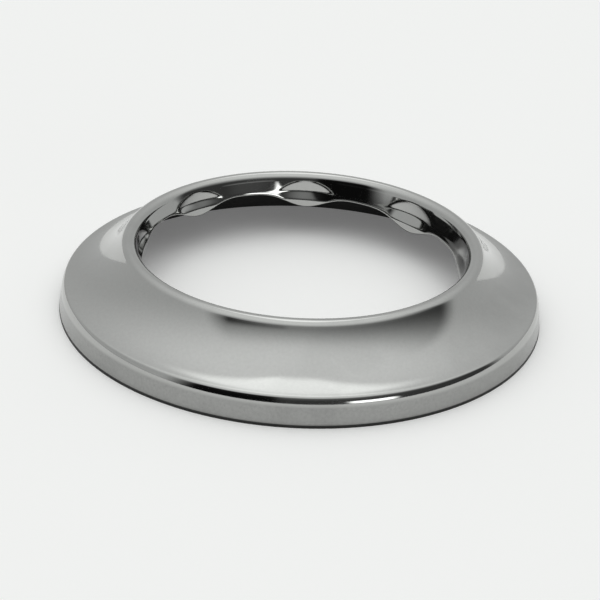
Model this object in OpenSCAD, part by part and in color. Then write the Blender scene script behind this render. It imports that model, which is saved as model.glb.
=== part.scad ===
// Pipe rosette: a round cover that slides along a drain pipe and hides the
// hole in the wall behind it. It is pressed from one disc of thin sheet.
// The origin is the centre of the rim on the wall, and +Z runs along the pipe
// into the room.

/* [Pipe] */
// Outside diameter of the pipe that the bumps grip
pipe_d = 50; // [30:0.5:125]
// How far the rosette covers the wall around the pipe
reach = 15; // [13:0.25:40]
// Gap between the pipe and the inside of the lip
lip_gap = 2.25; // [1.8:0.05:4]

/* [Sheet] */
// Thickness of the sheet
sheet_t = 0.5; // [0.3:0.05:0.7]

/* [Rim and flare] */
// Height from the wall to the top of the fold
rim_h = 4.7; // [3:0.1:6.5]
// Lean of the rim between the wall and the fold, in degrees
rim_lean = 8; // [0:0.5:12]
// Outside radius of the fold between the rim and the flare
fold_r = 1.5; // [1:0.05:2.2]
// Slope of the flare where it leaves the fold, in degrees
flare_slope = 10; // [4:0.5:20]

/* [Lip] */
// Height from the wall to the top of the lip
total_h = 11.6; // [10.5:0.1:16]
// Outside radius of the rolled lip
lip_r = 1.35; // [1.1:0.05:1.8]

/* [Collar] */
// Lean of the collar's wall under the lip, in degrees
wall_lean = 18; // [5:0.5:20]
// How far the collar reaches down from the top of the lip between two bumps
arch_depth = 3.75; // [3.2:0.05:5]
// How far the collar reaches down from the top of the lip at a bump
bump_depth = 5.9; // [5.4:0.05:7]
// Gap between the pipe and the collar's lower edge
edge_gap = 1.35; // [0.8:0.05:1.6]
// How far the lower edge runs out of true, at the +X side
edge_runout = 0.8; // [0:0.05:0.9]

/* [Bumps] */
// Number of bumps that grip the pipe
bump_count = 8; // [6:1:12]
// Depth of the bumps' crests below the top of the lip
crest_depth = 3.6; // [3.2:0.05:4]
// Width of the land on which each bump touches the pipe
land_w = 6.4; // [3:0.1:8]
// Height of that land along the pipe
land_h = 1.6; // [1:0.1:2.4]

/* [Hidden] */
$fn = 180;

// Steps of the arcs and of the collar's surface
arc_steps = 8;
steps_per_bump = 16;
wall_steps = 9;

// The collar starts on a short plain band under the lip, and its top is let
// into the band, a hair inside both faces
band_w = 0.3;
let_in = 0.2;
hair = 0.02;
// The lands are let into the crests, and stand a hair proud of them
land_let_in = 0.25;

// Radii of the pipe, the rim's foot and the lip's crest
pipe_r = pipe_d / 2;
base_r = pipe_r + reach;
lip_mid_r = pipe_r + lip_gap + lip_r;

function bearing(angle) = [cos(angle), sin(angle)];
function on_arc(centre, radius, angle) = centre + radius * bearing(angle);
function arc(centre, radius, from, to) =
    [for (i = [0:arc_steps]) on_arc(centre, radius, from + (to - from) * i / arc_steps)];

// The rim leans in to the fold's arc, which it touches
fold_c = [
    base_r - (rim_h - fold_r) * tan(rim_lean) - fold_r / cos(rim_lean),
    rim_h - fold_r,
];
lip_c = [lip_mid_r, total_h - lip_r];

// The flare is one hollow arc that touches the fold's arc and the lip's arc
flare_from = 90 - flare_slope;
flare_start = on_arc(fold_c, fold_r, flare_from);
to_start = flare_start - lip_c;
flare_r = (to_start * to_start - lip_r * lip_r) / (2 * (lip_r - to_start * bearing(flare_from)));
flare_c = flare_start + flare_r * bearing(flare_from);
lip_to_flare = flare_c - lip_c;
lip_from = atan2(lip_to_flare[1], lip_to_flare[0]);
lip_to = 180 - wall_lean;

// Direction down the plain wall, and the line in which it leaves the lip
down_wall = [-sin(wall_lean), -cos(wall_lean)];
neck = on_arc(lip_c, lip_r, lip_to);
band_end = neck + band_w * down_wall;

// One face of the sheet in section, from the rim's foot to the band under the lip
function face_line(inset) = concat(
    [[base_r - inset / cos(rim_lean), 0]],
    arc(fold_c, fold_r - inset, rim_lean, flare_from),
    arc(flare_c, flare_r + inset, 180 + flare_from, 180 + lip_from),
    arc(lip_c, lip_r - inset, lip_from, lip_to),
    [[band_end[0] + inset / cos(wall_lean), band_end[1]]]
);

function reversed(list) = [for (i = [len(list) - 1:-1:0]) list[i]];

// How strongly a bump shows, from 0 between two bumps to 1 over its land, and
// how its lower edge hangs down
pitch = 360 / bump_count;
land_turn = asin(land_w / 2 / pipe_r);
function from_bump(turn) = abs(turn - pitch * round(turn / pitch));
function ease(x) = (1 - cos(180 * min(max(x, 0), 1))) / 2;
function press(turn) = ease((pitch / 2 - from_bump(turn)) / (pitch / 2 - land_turn));
function droop(turn) = pow(ease(1 - from_bump(turn) / (pitch / 2)), 1.7);

// Height of the collar's lower edge
function edge_z(turn) = total_h - arch_depth - (bump_depth - arch_depth) * droop(turn) - edge_runout * cos(turn);

crest_z = total_h - crest_depth;
crest_r = pipe_r + 1.5 * hair;
edge_r = pipe_r + edge_gap;
foot_fade = 3.2;

// Radius of the collar's face towards the pipe
function line_r(z, low) = band_end[0] + (edge_r - band_end[0]) * (band_end[1] - z) / (band_end[1] - low);
function swell(z) = z > crest_z
    ? ease((band_end[1] - z) / (band_end[1] - crest_z - land_h / 2))
    : ease(1 - (crest_z - land_h / 2 - z) / foot_fade);
function face_r(turn, z) =
    let (line = line_r(z, edge_z(turn)))
    line - (line - crest_r) * press(turn) * swell(z);

function face_point(turn, z) = face_r(turn, z) * [cos(turn), sin(turn), 0] + [0, 0, z];

// The sheet's other face lies one thickness away, square to this one
function away(turn, z) =
    let (step = 0.05)
    let (sideways = face_point(turn + step, z) - face_point(turn - step, z))
    let (down = face_point(turn, z - step) - face_point(turn, z + step))
    let (out = cross(down, sideways))
    out / norm(out);

function collar_row(j) = [
    for (i = [0:bump_count * steps_per_bump - 1])
        let (turn = 360 * i / (bump_count * steps_per_bump))
        [turn, band_end[1] + (edge_z(turn) - band_end[1]) * j / wall_steps]
];

module pressed_wall() {
    around = bump_count * steps_per_bump;
    // The rows that are let into the band
    top_rows = [for (rise = [let_in, -2 * hair]) band_end + rise * [tan(wall_lean), 1]];
    rows = len(top_rows) + wall_steps;
    near_top = [for (p = top_rows) for (i = [0:around - 1]) let (turn = 360 * i / around)
        let (r = p[0] + hair / cos(wall_lean)) [r * cos(turn), r * sin(turn), p[1]]];
    far_top = [for (p = top_rows) for (i = [0:around - 1]) let (turn = 360 * i / around)
        let (r = p[0] + (sheet_t - hair) / cos(wall_lean)) [r * cos(turn), r * sin(turn), p[1]]];
    near_wall = [for (j = [1:wall_steps]) for (s = collar_row(j)) face_point(s[0], s[1])];
    far_wall = [for (j = [1:wall_steps]) for (s = collar_row(j)) face_point(s[0], s[1]) + sheet_t * away(s[0], s[1])];
    near = concat(near_top, near_wall);
    far = concat(far_top, far_wall);
    count = rows * around;
    side = [for (j = [0:rows - 2]) for (i = [0:around - 1]) let (k = (i + 1) % around)
        [j * around + i, (j + 1) * around + i, (j + 1) * around + k, j * around + k]];
    other = [for (f = side) [for (v = reversed(f)) v + count]];
    top = [for (i = [0:around - 1]) let (k = (i + 1) % around) [i, k, k + count, i + count]];
    foot = [for (i = [0:around - 1]) let (k = (i + 1) % around)
        [i + count - around, i + 2 * count - around, k + 2 * count - around, k + count - around]];
    polyhedron(points = concat(near, far), faces = concat(side, other, top, foot), convexity = 6);
}

module lands() {
    intersection() {
        translate([0, 0, crest_z - land_h / 2]) difference() {
            cylinder(r = pipe_r + land_let_in, h = land_h);
            translate([0, 0, -1]) cylinder(r = pipe_r, h = land_h + 2);
        }
        for (i = [0:bump_count - 1])
            rotate(i * pitch) translate([0, -land_w / 2, 0]) cube([pipe_r + 1, land_w, total_h]);
    }
}

module collar() {
    // The gripping collar: the wall with its bumps, and the land on each bump
    pressed_wall();
    lands();
}

module rosette() {
    color("silver") union() {
        rotate_extrude() polygon(concat(face_line(0), reversed(face_line(sheet_t))));
        collar();
    }
}

rosette();
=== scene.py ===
# %% [markdown]
# # Pipe rosette
#
# A rosette hides the ragged hole where a drain pipe goes into a wall. This one is a single
# disc of thin sheet, drawn and pressed in steps, then plated with chrome. The scene loads
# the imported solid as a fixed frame, makes a smooth pressed sheet in its place, and lights it
# on a pale floor.

# %% Load the frame
import math

import bpy
from mathutils import Matrix, Vector


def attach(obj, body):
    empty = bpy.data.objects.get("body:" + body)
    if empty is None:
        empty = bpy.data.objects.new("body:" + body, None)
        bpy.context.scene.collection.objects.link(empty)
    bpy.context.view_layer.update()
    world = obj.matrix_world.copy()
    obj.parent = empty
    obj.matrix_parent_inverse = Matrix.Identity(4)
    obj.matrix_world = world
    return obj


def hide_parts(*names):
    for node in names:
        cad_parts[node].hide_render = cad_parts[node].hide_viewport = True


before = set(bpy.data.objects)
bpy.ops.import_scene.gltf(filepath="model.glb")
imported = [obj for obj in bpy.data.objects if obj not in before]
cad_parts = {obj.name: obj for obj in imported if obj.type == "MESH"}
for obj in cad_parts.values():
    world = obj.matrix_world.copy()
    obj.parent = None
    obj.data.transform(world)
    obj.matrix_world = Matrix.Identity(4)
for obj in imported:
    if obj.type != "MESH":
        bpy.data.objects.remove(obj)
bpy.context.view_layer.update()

# %% [markdown]
# ## Camera
#
# The photograph was taken close up, from a little above. Its viewpoint was worked out from
# three ellipses that one can see in it: the rim on the table, the top of the fold and the
# lip. A camera is placed by its distance from the origin along a line that rises from the
# floor, and is then rolled a little, because whoever held it didn't hold it level.

# %% Place the camera
MM = 0.001
camera_rise = math.radians(27.304)
camera_roll = math.radians(2.841)
camera_distance = 234.25 * MM
camera_nudge = Vector((-0.019, -0.020)) * MM
focal_px = 1391.35
picture_px = 600
sensor_mm = 36.0

back = Vector((0, -math.cos(camera_rise), math.sin(camera_rise)))
right = Vector((1, 0, 0))
up = back.cross(right)
turned_right = math.cos(camera_roll) * right + math.sin(camera_roll) * up
turned_up = math.cos(camera_roll) * up - math.sin(camera_roll) * right

camera_data = bpy.data.cameras.new("photo_camera")
camera_data.sensor_width = sensor_mm
camera_data.lens = focal_px / picture_px * sensor_mm
camera_data.clip_start = 1 * MM
camera_data.clip_end = 10
camera = bpy.data.objects.new("photo_camera", camera_data)
bpy.context.scene.collection.objects.link(camera)
place = Matrix((turned_right, turned_up, back)).transposed().to_4x4()
place.translation = camera_distance * back + camera_nudge.x * right + camera_nudge.y * up
camera.matrix_world = place
bpy.context.scene.camera = camera
print("camera at", [round(v, 4) for v in place.translation], "lens", round(camera_data.lens, 2), "mm")

# %% [markdown]
# ## The section of the sheet
#
# Cut the rosette through its axis and one sees the path of the sheet: an upright rim that
# leans in a little, a tight fold, a hollow flare, a rolled lip, and a plain wall that goes
# down inside. All of these are straight lines and arcs that touch, so the section is drawn
# by giving each arc its centre, its radius and the angles between which it runs. Where two
# arcs touch, their centres and the point of contact lie on one line, and that gives the
# flare's radius.

# %% Draw the section
PIPE_R = 25.0
REACH = 15.0
LIP_GAP = 2.25
SHEET = 0.5
RIM_H = 4.7
RIM_LEAN = math.radians(8)
SHOULDER_R = 3.3
SHOULDER_TO = math.radians(30)
FOLD_R = 0.55
FLARE_SLOPE = math.radians(10)
TOTAL_H = 11.6
LIP_R = 1.35
WALL_LEAN = math.radians(18)
BAND_W = 0.3


def bearing(angle):
    return Vector((math.cos(angle), math.sin(angle)))


def arc(centre, radius, start, end, steps):
    return [centre + radius * bearing(start + (end - start) * i / steps) for i in range(steps + 1)]


base_r = PIPE_R + REACH
rim_top_z = RIM_H - FOLD_R - (SHOULDER_R - FOLD_R) * math.sin(SHOULDER_TO) + SHOULDER_R * math.sin(RIM_LEAN)
rim_top = Vector((base_r - rim_top_z * math.tan(RIM_LEAN), rim_top_z))
shoulder_c = rim_top - SHOULDER_R * bearing(RIM_LEAN)
fold_c = shoulder_c + (SHOULDER_R - FOLD_R) * bearing(SHOULDER_TO)
lip_c = Vector((PIPE_R + LIP_GAP + LIP_R, TOTAL_H - LIP_R))
flare_from = math.pi / 2 - FLARE_SLOPE
flare_start = fold_c + FOLD_R * bearing(flare_from)
to_start = flare_start - lip_c
flare_r = (to_start.dot(to_start) - LIP_R**2) / (2 * (LIP_R - to_start.dot(bearing(flare_from))))
flare_c = flare_start + flare_r * bearing(flare_from)
lip_from = math.atan2(flare_c.y - lip_c.y, flare_c.x - lip_c.x)
neck = lip_c + LIP_R * bearing(math.pi - WALL_LEAN)
band_end = neck - BAND_W * Vector((math.sin(WALL_LEAN), math.cos(WALL_LEAN)))

WALL_ROWS = 38
rim_rows, shoulder_rows, fold_rows, flare_rows, lip_rows = 4, 8, 10, 38, 26
rim_foot = Vector((base_r, 0))
section = [rim_foot.lerp(rim_top, i / rim_rows) for i in range(rim_rows)]
section += arc(shoulder_c, SHOULDER_R, RIM_LEAN, SHOULDER_TO, shoulder_rows)
section += arc(fold_c, FOLD_R, SHOULDER_TO, flare_from, fold_rows)[1:]
section += arc(flare_c, flare_r, math.pi + flare_from, math.pi + lip_from, flare_rows)[1:]
section += arc(lip_c, LIP_R, lip_from, math.pi - WALL_LEAN, lip_rows)[1:]
section.append(band_end)
down = [0.0] * len(section)
for row in range(1, WALL_ROWS + 1):
    section.append(band_end + row / WALL_ROWS * Vector((0, -4)))
    down.append(row / WALL_ROWS)
print("section of", len(section), "points, flare radius", round(flare_r, 2), "mm")

# %% Keep the section as a line of edges, with how far down the wall each point lies
line = bpy.data.meshes.new("rosette_section")
line.from_pydata(
    [((p.x - base_r) * MM, -p.y * MM, 0) for p in section],
    [(i, i + 1) for i in range(len(section) - 1)],
    [],
)
line.attributes.new("down_wall", "FLOAT", "POINT").data.foreach_set("value", down)
rosette = bpy.data.objects.new("pressed_rosette", line)
bpy.context.scene.collection.objects.link(rosette)

# %% [markdown]
# ## Spinning the section and pressing the bumps
#
# The real sheet is first drawn to a round shell and then a tool with eight fingers presses
# the bumps into its collar. The node tree does the same two jobs. Curve to Mesh sweeps the
# section round a circle. Then Set Position moves the points of the inner wall: in to the
# pipe at each bump, and down to a lower edge that hangs in waves. The rule of the bumps is
# written as plain formulas, and a small helper turns each sign of a formula into a Math
# node, so that the tree can be read, and changed, from the script.

# %% A helper that writes formulas as Math nodes


class Value:
    """A number in a node tree. Adding or multiplying two of them adds a Math node."""

    def __init__(self, tree, socket):
        self.tree = tree
        self.socket = socket

    def maths(self, operation, *others, swap=False):
        node = self.tree.nodes.new("ShaderNodeMath")
        node.operation = operation
        parts = (self,) + others
        if swap:
            parts = parts[::-1]
        for entry, part in zip(node.inputs, parts):
            if isinstance(part, Value):
                self.tree.links.new(part.socket, entry)
            else:
                entry.default_value = part
        return Value(self.tree, node.outputs[0])

    def __add__(self, other):
        return self.maths("ADD", other)

    def __radd__(self, other):
        return self.maths("ADD", other, swap=True)

    def __sub__(self, other):
        return self.maths("SUBTRACT", other)

    def __rsub__(self, other):
        return self.maths("SUBTRACT", other, swap=True)

    def __mul__(self, other):
        return self.maths("MULTIPLY", other)

    def __rmul__(self, other):
        return self.maths("MULTIPLY", other, swap=True)

    def __truediv__(self, other):
        return self.maths("DIVIDE", other)

    def cosine(self):
        return self.maths("COSINE")

    def sine(self):
        return self.maths("SINE")

    def size(self):
        return self.maths("ABSOLUTE")

    def power(self, exponent):
        return self.maths("POWER", exponent)

    def nearest_whole(self):
        return self.maths("ROUND")

    def above(self, other):
        return self.maths("GREATER_THAN", other)

    def within_one(self):
        return self.maths("MAXIMUM", 0.0).maths("MINIMUM", 1.0)


def ease(x):
    """Goes from 0 to 1 with x, softly at both ends."""
    return (1.0 - (math.pi * x.within_one()).cosine()) * 0.5


# %% Start the node tree and its inputs
SIZES = {
    "Base radius": base_r,
    "Top radius": band_end.x,
    "Top height": band_end.y,
    "Edge radius": PIPE_R + 1.35,
    "Arch height": TOTAL_H - 3.75,
    "Droop": 2.15,
    "Edge runout": 0.84,
    "Edge strip": 0.19,
    "Crease height": TOTAL_H - 4.6,
    "Step height": TOTAL_H - 3.18,
    "Pocket half turn": math.radians(11),
    "Pocket lean": 0.05,
    "Softness": 0.12,
}
AROUND = 368

tree = bpy.data.node_groups.new("spin_and_press", "GeometryNodeTree")
tree.interface.new_socket("Section", in_out="INPUT", socket_type="NodeSocketGeometry")
for name in SIZES:
    tree.interface.new_socket(name, in_out="INPUT", socket_type="NodeSocketFloat")
tree.interface.new_socket("Bumps", in_out="INPUT", socket_type="NodeSocketInt")
tree.interface.new_socket("Steps around", in_out="INPUT", socket_type="NodeSocketInt")
tree.interface.new_socket("Plating", in_out="INPUT", socket_type="NodeSocketMaterial")
tree.interface.new_socket("Sheet", in_out="OUTPUT", socket_type="NodeSocketGeometry")
inputs = tree.nodes.new("NodeGroupInput")
outputs = tree.nodes.new("NodeGroupOutput")


def node(kind, **links):
    """A new node, with its inputs given by name as sockets or as plain values."""
    made = tree.nodes.new(kind)
    for name, source in links.items():
        entry = made.inputs[name.replace("_", " ")]
        if isinstance(source, bpy.types.NodeSocket):
            tree.links.new(source, entry)
        else:
            entry.default_value = source
    return made


def size(name):
    return Value(tree, inputs.outputs[name])


# %% Spin the section round a circle
circle = node("GeometryNodeCurvePrimitiveCircle")
tree.links.new(inputs.outputs["Steps around"], circle.inputs["Resolution"])
tree.links.new((size("Base radius") * MM).socket, circle.inputs["Radius"])
profile = node("GeometryNodeMeshToCurve", Mesh=inputs.outputs["Section"])
spun = node("GeometryNodeCurveToMesh", Curve=circle.outputs["Curve"])
tree.links.new(profile.outputs["Curve"], spun.inputs["Profile Curve"])
outward = node("GeometryNodeFlipFaces", Mesh=spun.outputs["Mesh"])

# %% Read where each point is, in millimetres and turns
position = node("GeometryNodeInputPosition")
parts = node("ShaderNodeSeparateXYZ", Vector=position.outputs["Position"])
x, y = Value(tree, parts.outputs["X"]), Value(tree, parts.outputs["Y"])
turn = y.maths("ARCTAN2", x)
read_down = node("GeometryNodeInputNamedAttribute", Name="down_wall")
read_down.data_type = "FLOAT"
down_wall = Value(tree, read_down.outputs["Attribute"])

# %% The rule of the bumps
pitch = size("Bumps").maths("DIVIDE", 2 * math.pi, swap=True)
half_pitch = pitch * 0.5
from_bump = (turn - pitch * (turn / pitch).nearest_whole()).size()
droop = ease(1.0 - from_bump / half_pitch).power(1.9)
runout = size("Edge runout") * turn.cosine() * -1.0
arch_z = size("Arch height") + runout
edge_z = arch_z - size("Droop") * droop
crease_z = (size("Crease height") + runout).maths("SMOOTH_MAX", edge_z + size("Edge strip"), 0.2)
step_z = (size("Step height") + runout * 0.4).maths("MAXIMUM", crease_z + size("Edge strip"))
reach_up = (1.0 - (from_bump / size("Pocket half turn")).power(2.0)).maths("MAXIMUM", 0.0)
pocket_z = step_z + (size("Top height") - step_z) * reach_up

z = size("Top height") + (edge_z - size("Top height")) * down_wall
steepness = (size("Top radius") - size("Edge radius")) / (size("Top height") - crease_z)
cone_r = size("Edge radius") + steepness * (z - crease_z)
pocket_top_r = size("Edge radius") + steepness * (pocket_z - crease_z)
pocket_r = pocket_top_r - size("Pocket lean") * (pocket_z - z)
step_top_r = pocket_top_r - size("Pocket lean") * (pocket_z - step_z)
step_r = size("Edge radius") + (step_top_r - size("Edge radius")) * (z - crease_z) / (step_z - crease_z)
face_r = cone_r.maths("SMOOTH_MAX", pocket_r, size("Softness"))
face_r = face_r.maths("SMOOTH_MIN", step_r, size("Softness"))
face_r = face_r.maths("SMOOTH_MAX", size("Edge radius"), size("Softness"))

# %% Move the wall's points to the rule, and finish the tree
pressed = node("ShaderNodeCombineXYZ")
tree.links.new((face_r * turn.cosine() * MM).socket, pressed.inputs["X"])
tree.links.new((face_r * turn.sine() * MM).socket, pressed.inputs["Y"])
tree.links.new((z * MM).socket, pressed.inputs["Z"])
move = node("GeometryNodeSetPosition", Geometry=outward.outputs["Mesh"], Position=pressed.outputs["Vector"])
tree.links.new(down_wall.above(0.0).socket, move.inputs["Selection"])
smooth = node("GeometryNodeSetShadeSmooth", Geometry=move.outputs["Geometry"])
whole = node("GeometryNodeRealizeInstances", Geometry=smooth.outputs["Geometry"])
plate = node("GeometryNodeSetMaterial", Geometry=whole.outputs["Geometry"], Material=inputs.outputs["Plating"])
tree.links.new(plate.outputs["Geometry"], outputs.inputs["Sheet"])
print("node tree of", len(tree.nodes), "nodes")

# %% [markdown]
# ## Chrome
#
# Chrome plating shows its surroundings. It's a little darker and bluer than a silvered
# mirror, and a cheap pressed part is never a perfect one: the sheet keeps a fine grain under
# the plating, and hands leave smears. The material gets these by varying roughness and by a
# very weak bump, since any strong bump would break up the reflections.

# %% Where each point of the chrome lies, in millimetres
chrome = bpy.data.materials.new("chrome_plating")
chrome.use_nodes = True
coat = chrome.node_tree
shader = coat.nodes["Principled BSDF"]
place_node = coat.nodes.new("ShaderNodeTexCoord")
place_parts = coat.nodes.new("ShaderNodeSeparateXYZ")
coat.links.new(place_node.outputs["Object"], place_parts.inputs["Vector"])
at_x, at_y, at_z = (Value(coat, place_parts.outputs[axis]) / MM for axis in "XYZ")
at_r = (at_x * at_x + at_y * at_y).power(0.5)
facing_node = coat.nodes.new("ShaderNodeNewGeometry")
facing_parts = coat.nodes.new("ShaderNodeSeparateXYZ")
coat.links.new(facing_node.outputs["Normal"], facing_parts.inputs["Vector"])
face_x, face_y, face_up = (Value(coat, facing_parts.outputs[axis]) for axis in "XYZ")
face_out = (face_x * at_x + face_y * at_y) / at_r


def ramp(value, start, end):
    """0 at start, 1 at end, soft between them."""
    node = value.tree.nodes.new("ShaderNodeMapRange")
    node.interpolation_type = "SMOOTHSTEP"
    value.tree.links.new(value.socket, node.inputs["Value"])
    node.inputs["From Min"].default_value = min(start, end)
    node.inputs["From Max"].default_value = max(start, end)
    node.inputs["To Min"].default_value = 0.0 if start < end else 1.0
    node.inputs["To Max"].default_value = 1.0 if start < end else 0.0
    return Value(value.tree, node.outputs["Result"])


def noise(per_mm, detail, roughness):
    """Noise in the plating, from about 0.2 to 0.8, with this many bumps a millimetre."""
    node = coat.nodes.new("ShaderNodeTexNoise")
    coat.links.new(place_node.outputs["Object"], node.inputs["Vector"])
    node.inputs["Scale"].default_value = per_mm / MM
    node.inputs["Detail"].default_value = detail
    node.inputs["Roughness"].default_value = roughness
    return Value(coat, node.outputs["Fac"])


# %% Plating, with painted shade darkening the rim and the underside, which are also rougher
grain = noise(2.2, 4, 0.6)
smears = ramp(noise(0.09, 3, 0.55), 0.5, 0.68)
# The rim mask sets where painted shade darkens the rim, so that it mirrors the floor as if that floor lay in
# shade, and where the rim is rougher.
rim = ramp(at_r, 38.2, 38.9) * ramp(at_z, 3.6, 3.0)
# Painted shade: this masks the faces that look down, the collar's outer face under the flare and the rim's inner
# face, to darken them as shade in the hollow.
behind_collar = ramp(face_out, 0.3, 0.5) * ramp(at_r, 29.5, 28.5) * ramp(at_z, 10.2, 9.8)
inside_rim = ramp(face_out, -0.3, -0.5) * ramp(at_r, 34.0, 36.0)
looks_down = ramp(face_up, -0.12, -0.3)
painted_shade_underside = looks_down.maths("MAXIMUM", behind_collar).maths("MAXIMUM", inside_rim)

level = 0.45 * (1.0 + 0.12 * (grain - 0.5)) * (1.0 - 0.05 * smears)
# Painted shade: the rim's base colour is darkened. This stands in for a shaded floor in its reflection.
level = level * (1.0 - rim * (0.26 + 0.35 * (grain - 0.5)))
# Painted shade: the masked faces of the hollow are darkened to a fifth of the chrome's level. Further down they
# are also made rougher.
level = level * (1.0 - 0.8 * painted_shade_underside)
colour = coat.nodes.new("ShaderNodeCombineXYZ")
for axis, share in (("X", 1.0), ("Y", 1.005), ("Z", 0.985)):
    coat.links.new((level * share).socket, colour.inputs[axis])
coat.links.new(colour.outputs["Vector"], shader.inputs["Base Color"])
dullness = 0.05 + 0.04 * smears + 0.05 * grain + 0.12 * rim + 0.45 * painted_shade_underside
coat.links.new(dullness.socket, shader.inputs["Roughness"])
shader.inputs["Metallic"].default_value = 1.0

# %% A very weak bump for the grain of the sheet
grain_bump = coat.nodes.new("ShaderNodeBump")
grain_bump.inputs["Strength"].default_value = 0.25
grain_bump.inputs["Distance"].default_value = 0.004 * MM
coat.links.new((noise(1.1, 3, 0.5) + 4.0 * noise(0.16, 1, 0.5)).socket, grain_bump.inputs["Height"])
coat.links.new(grain_bump.outputs["Normal"], shader.inputs["Normal"])

# %% Apply the tree to the section
press_tool = rosette.modifiers.new("spin_and_press", "NODES")
press_tool.node_group = tree
sockets = {item.name: item.identifier for item in tree.interface.items_tree if item.in_out == "INPUT"}
for name, value in SIZES.items():
    press_tool[sockets[name]] = float(value)
press_tool[sockets["Bumps"]] = 8
press_tool[sockets["Steps around"]] = AROUND
press_tool[sockets["Plating"]] = chrome

thicken = rosette.modifiers.new("sheet_thickness", "SOLIDIFY")
thicken.thickness = SHEET * MM
thicken.offset = -1
thicken.use_even_offset = True

# %% Turn the result into a plain mesh, and trim the rim's foot level with the wall
bpy.context.view_layer.update()
made = bpy.data.meshes.new_from_object(rosette.evaluated_get(bpy.context.evaluated_depsgraph_get()))
made.name = "pressed_rosette"
for corner in made.vertices:
    corner.co.z = max(corner.co.z, 0.0)
rosette.modifiers.clear()
rosette.data = made
low = [min(v.co[i] for v in made.vertices) * 1000 for i in range(3)]
high = [max(v.co[i] for v in made.vertices) * 1000 for i in range(3)]
print("rosette:", len(made.polygons), "faces, box", [round(v, 2) for v in low + high])
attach(rosette, "root")
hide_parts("rosette")

# %% [markdown]
# ## Floor and light
#
# A mirror needs something to mirror. The floor is plain and pale. The light is one soft dome,
# brightest overhead and behind, and dark low down on the camera's side, where an unlit room
# stands behind the photographer. That gives chrome its dark bands. A dome is a world shader
# that reads the direction in which a ray leaves, and here that direction is turned into two
# angles: how far round from the camera, and how far up.

# %% Paint the dome from two angles
world = bpy.data.worlds.new("studio")
bpy.context.scene.world = world
world.use_nodes = True
sky = world.node_tree
background = sky.nodes["Background"]
direction = sky.nodes.new("ShaderNodeTexCoord")
split = sky.nodes.new("ShaderNodeSeparateXYZ")
sky.links.new(direction.outputs["Generated"], split.inputs["Vector"])
east, north, high = (Value(sky, split.outputs[axis]) for axis in "XYZ")
DEGREES = 180 / math.pi
around = east.maths("ARCTAN2", north * -1.0) * DEGREES
rise = high.maths("ARCSINE") * DEGREES


def patch(left, right, low, high, side_soft, end_soft):
    """A soft-edged patch of the dome, in degrees round and up."""
    sides = ramp(around, left - side_soft, left + side_soft) * ramp(around, right + side_soft, right - side_soft)
    ends = ramp(rise, low - end_soft, low + end_soft) * ramp(rise, high + end_soft, high - end_soft)
    return sides * ends


dome = 0.62 + 0.5 * ramp(rise, 15, 75)
room = ramp(around, -62, -46) * ramp(around, 106, 92) * ramp(rise, 62, 14)
sitter = patch(-47, -8, -40, 34, 3, 5)
behind = ramp(around.size(), 150, 165) * ramp(rise, 48, 56) * ramp(rise, 84, 74)
lamp = patch(24, 44, 2, 12, 3, 2)
light = dome * (1.0 - 0.9 * room) * (1.0 - 0.9 * sitter) + 0.7 * behind + 3.4 * lamp
tint = sky.nodes.new("ShaderNodeCombineXYZ")
for axis, share in (("X", 0.985), ("Y", 1.0), ("Z", 0.99)):
    sky.links.new((light * share).socket, tint.inputs[axis])
sky.links.new(tint.outputs["Vector"], background.inputs["Color"])

# %% Floor
bpy.ops.mesh.primitive_plane_add(size=3)
floor = bpy.context.object
floor.name = "pale_floor"
paint = bpy.data.materials.new("floor_paint")
paint.use_nodes = True
paint_nodes = paint.node_tree.nodes
matt = paint_nodes["Principled BSDF"]
matt.inputs["Base Color"].default_value = (0.93, 0.93, 0.925, 1)
matt.inputs["Roughness"].default_value = 0.9
matt.inputs["Specular IOR Level"].default_value = 0.0
path = paint_nodes.new("ShaderNodeLightPath")
seen = Value(paint.node_tree, path.outputs["Is Camera Ray"])
for kind in ("Is Glossy Ray", "Is Transmission Ray"):
    seen = seen.maths("MAXIMUM", Value(paint.node_tree, path.outputs[kind]))
matt.inputs["Emission Color"].default_value = (1, 1, 1, 1)
paint.node_tree.links.new((seen * 0.14).socket, matt.inputs["Emission Strength"])
floor.data.materials.append(paint)

# %% Output view
bpy.context.scene.view_settings.view_transform = "Standard"
